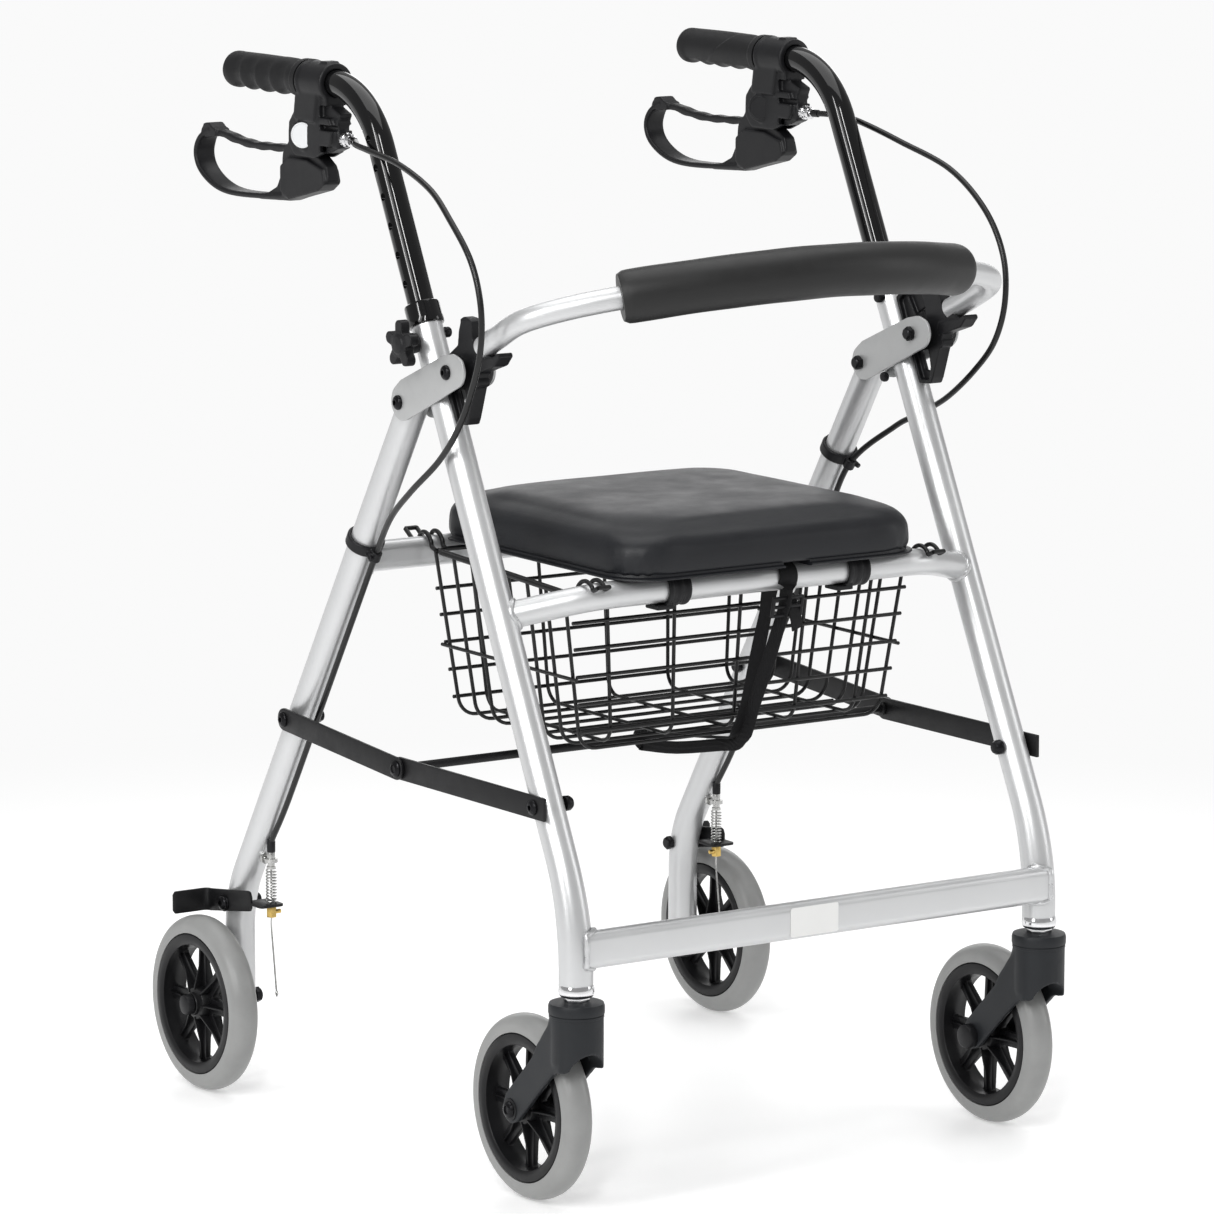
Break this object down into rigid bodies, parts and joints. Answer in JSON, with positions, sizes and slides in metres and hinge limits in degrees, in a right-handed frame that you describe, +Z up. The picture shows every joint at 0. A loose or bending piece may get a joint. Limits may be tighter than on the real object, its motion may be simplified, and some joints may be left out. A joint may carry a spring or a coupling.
{
  "type": "four-wheeled walking frame",
  "caption": "Folding rollator walker with padded flip-up seat, wire basket, bowed foam backrest, loop brake levers, swivel front castors and fixed rear wheels.",
  "frame": {"origin": "centre of the object's box at ground level, where the wheels stand", "axes": "+Z up, -Y is the walker's front (castors), +Y is the user's side (grips), +X is the user's left"},
  "size_m": [0.5694, 0.6266, 0.8853],
  "materials": {
    "satin_aluminium": "satin anodised tube",
    "plate_grey": "satin grey coated steel plate",
    "black_steel": "black zinc or powder coat",
    "black_gloss_tube": "gloss black tube",
    "black_plastic": "moulded, fine grain",
    "dark_grey_plastic": "moulded, fine grain",
    "chrome_steel": "bright plated",
    "grip_rubber": "soft moulded rubber",
    "grey_tyre": "solid grey elastomer",
    "grey_foam": "closed-cell foam sleeve",
    "black_vinyl": "grained vinyl over foam",
    "webbing": "woven polyester webbing",
    "cable_sheath": "black sheath with bare inner wire",
    "basket_wire": "black coated steel wire"
  },
  "bodies": {
    "front_frame": {"front_frame": "satin_aluminium", "hinge_plate_outer_right": "plate_grey", "hinge_plate_outer_left": "plate_grey", "hinge_plate_inner_right": "plate_grey", "hinge_plate_inner_left": "plate_grey", "fold_bolt_right": "black_steel", "fold_bolt_left": "black_steel", "plate_bolt_right": "black_steel", "plate_bolt_left": "black_steel", "backrest_bracket_right": "black_plastic", "backrest_bracket_left": "black_plastic", "backrest_tube": "satin_aluminium", "backrest_foam": "grey_foam", "socket_collar_right": "black_plastic", "socket_collar_left": "black_plastic", "stay_bolt_front_right": "black_steel", "stay_bolt_front_left": "black_steel", "castor_stem_right": "chrome_steel", "castor_stem_left": "chrome_steel", "brake_cable_right": "cable_sheath", "brake_cable_left": "cable_sheath", "fold_strap": "webbing"},
    "rear_frame": {"rear_frame": "satin_aluminium", "stay_bolt_rear_right": "black_steel", "stay_bolt_rear_left": "black_steel", "rear_axle_right": "black_steel", "rear_axle_left": "black_steel", "cable_clip_right": "black_plastic", "cable_clip_left": "black_plastic"},
    "front_stays": {"stay_front_right": "black_steel", "stay_front_left": "black_steel", "cross_rod": "black_steel"},
    "rear_stays": {"stay_rear_right": "black_steel", "stay_rear_left": "black_steel"},
    "basket": {"basket": "basket_wire"},
    "seat": {"seat_pad": "black_vinyl", "seat_clip_right": "black_plastic", "seat_clip_left": "black_plastic"},
    "castor_right": {"castor_fork_right": "dark_grey_plastic"},
    "castor_wheel_right": {"castor_wheel_hub_right": "black_plastic", "castor_wheel_tyre_right": "grey_tyre"},
    "rear_wheel_right": {"rear_wheel_hub_right": "black_plastic", "rear_wheel_tyre_right": "grey_tyre"},
    "handle_right": {"handle_tube_right": "black_gloss_tube", "grip_right": "grip_rubber", "brake_housing_right": "black_plastic"},
    "brake_lever_right": {"brake_lever_right": "black_plastic"},
    "brake_shoe_right": {"brake_shoe_right": "black_steel"},
    "height_knob_right": {"height_knob_right": "black_plastic"},
    "castor_left": {"castor_fork_left": "dark_grey_plastic"},
    "castor_wheel_left": {"castor_wheel_hub_left": "black_plastic", "castor_wheel_tyre_left": "grey_tyre"},
    "rear_wheel_left": {"rear_wheel_hub_left": "black_plastic", "rear_wheel_tyre_left": "grey_tyre"},
    "handle_left": {"handle_tube_left": "black_gloss_tube", "grip_left": "grip_rubber", "brake_housing_left": "black_plastic"},
    "brake_lever_left": {"brake_lever_left": "black_plastic"},
    "brake_shoe_left": {"brake_shoe_left": "black_steel"},
    "height_knob_left": {"height_knob_left": "black_plastic"}
  },
  "joints": [
    {"name": "fold", "type": "hinge", "parent": "front_frame", "child": "rear_frame", "pos_m": [0, -0.04295, 0.6214], "axis": [-1, 0, 0], "range_deg": [0, 35], "deforming": ["fold_strap"]},
    {"name": "front_stay_fold", "type": "hinge", "parent": "front_frame", "child": "front_stays", "pos_m": [0, -0.24165, 0.3235], "axis": [1, 0, 0], "range_deg": [0, 43.5]},
    {"name": "rear_stay_fold", "type": "hinge", "parent": "rear_frame", "child": "rear_stays", "pos_m": [0, 0.13375, 0.3347], "axis": [-1, 0, 0], "range_deg": [0, 48.5]},
    {"name": "basket_lift_out", "type": "slide", "parent": "front_frame", "child": "basket", "axis": [0, -1, 0], "range_m": [0, 0.68]},
    {"name": "seat_flip", "type": "hinge", "parent": "front_frame", "child": "seat", "pos_m": [0, -0.20515, 0.479], "axis": [1, 0, 0], "range_deg": [0, 78]},
    {"name": "castor_swivel_right", "type": "hinge", "parent": "front_frame", "child": "castor_right", "pos_m": [-0.229, -0.28015, 0.16], "axis": [0, 0, 1], "continuous": true},
    {"name": "castor_wheel_spin_right", "type": "hinge", "parent": "castor_right", "child": "castor_wheel_right", "pos_m": [-0.229, -0.21645, 0.075], "axis": [1, 0, 0], "continuous": true},
    {"name": "rear_wheel_spin_right", "type": "hinge", "parent": "rear_frame", "child": "rear_wheel_right", "pos_m": [-0.2647, 0.23835, 0.075], "axis": [1, 0, 0], "continuous": true},
    {"name": "handle_height_right", "type": "slide", "parent": "front_frame", "child": "handle_right", "axis": [0, 0.4411, 0.8975], "range_m": [-0.09, 0.03], "deforming": ["brake_cable_right"]},
    {"name": "brake_lever_right", "type": "hinge", "parent": "handle_right", "child": "brake_lever_right", "pos_m": [-0.229, 0.11965, 0.8239], "axis": [1, 0, 0], "range_deg": [0, 10]},
    {"name": "brake_shoe_right", "type": "hinge", "parent": "rear_frame", "child": "brake_shoe_right", "pos_m": [-0.229, 0.23835, 0.159], "axis": [-1, 0, 0], "range_deg": [0, 3.2]},
    {"name": "height_knob_right", "type": "hinge", "parent": "front_frame", "child": "height_knob_right", "pos_m": [-0.229, -0.06755, 0.67199], "axis": [1, 0, 0], "continuous": true},
    {"name": "castor_swivel_left", "type": "hinge", "parent": "front_frame", "child": "castor_left", "pos_m": [0.229, -0.28015, 0.16], "axis": [0, 0, 1], "continuous": true},
    {"name": "castor_wheel_spin_left", "type": "hinge", "parent": "castor_left", "child": "castor_wheel_left", "pos_m": [0.229, -0.21645, 0.075], "axis": [1, 0, 0], "continuous": true},
    {"name": "rear_wheel_spin_left", "type": "hinge", "parent": "rear_frame", "child": "rear_wheel_left", "pos_m": [0.2647, 0.23835, 0.075], "axis": [1, 0, 0], "continuous": true},
    {"name": "handle_height_left", "type": "slide", "parent": "front_frame", "child": "handle_left", "axis": [0, 0.4411, 0.8975], "range_m": [-0.09, 0.03], "deforming": ["brake_cable_left"]},
    {"name": "brake_lever_left", "type": "hinge", "parent": "handle_left", "child": "brake_lever_left", "pos_m": [0.229, 0.11965, 0.8239], "axis": [1, 0, 0], "range_deg": [0, 10]},
    {"name": "brake_shoe_left", "type": "hinge", "parent": "rear_frame", "child": "brake_shoe_left", "pos_m": [0.229, 0.23835, 0.159], "axis": [-1, 0, 0], "range_deg": [0, 3.2]},
    {"name": "height_knob_left", "type": "hinge", "parent": "front_frame", "child": "height_knob_left", "pos_m": [0.229, -0.06755, 0.67199], "axis": [1, 0, 0], "continuous": true}
  ],
  "couplings": [
    {"joint": "front_stay_fold", "follows": "fold", "ratio": 1.236},
    {"joint": "rear_stay_fold", "follows": "fold", "ratio": 1.382},
    {"joint": "basket_lift_out", "follows": "fold", "m_per_rad": 1.1},
    {"joint": "brake_shoe_right", "follows": "brake_lever_right", "ratio": 0.3},
    {"joint": "brake_shoe_left", "follows": "brake_lever_left", "ratio": 0.3}
  ]
}
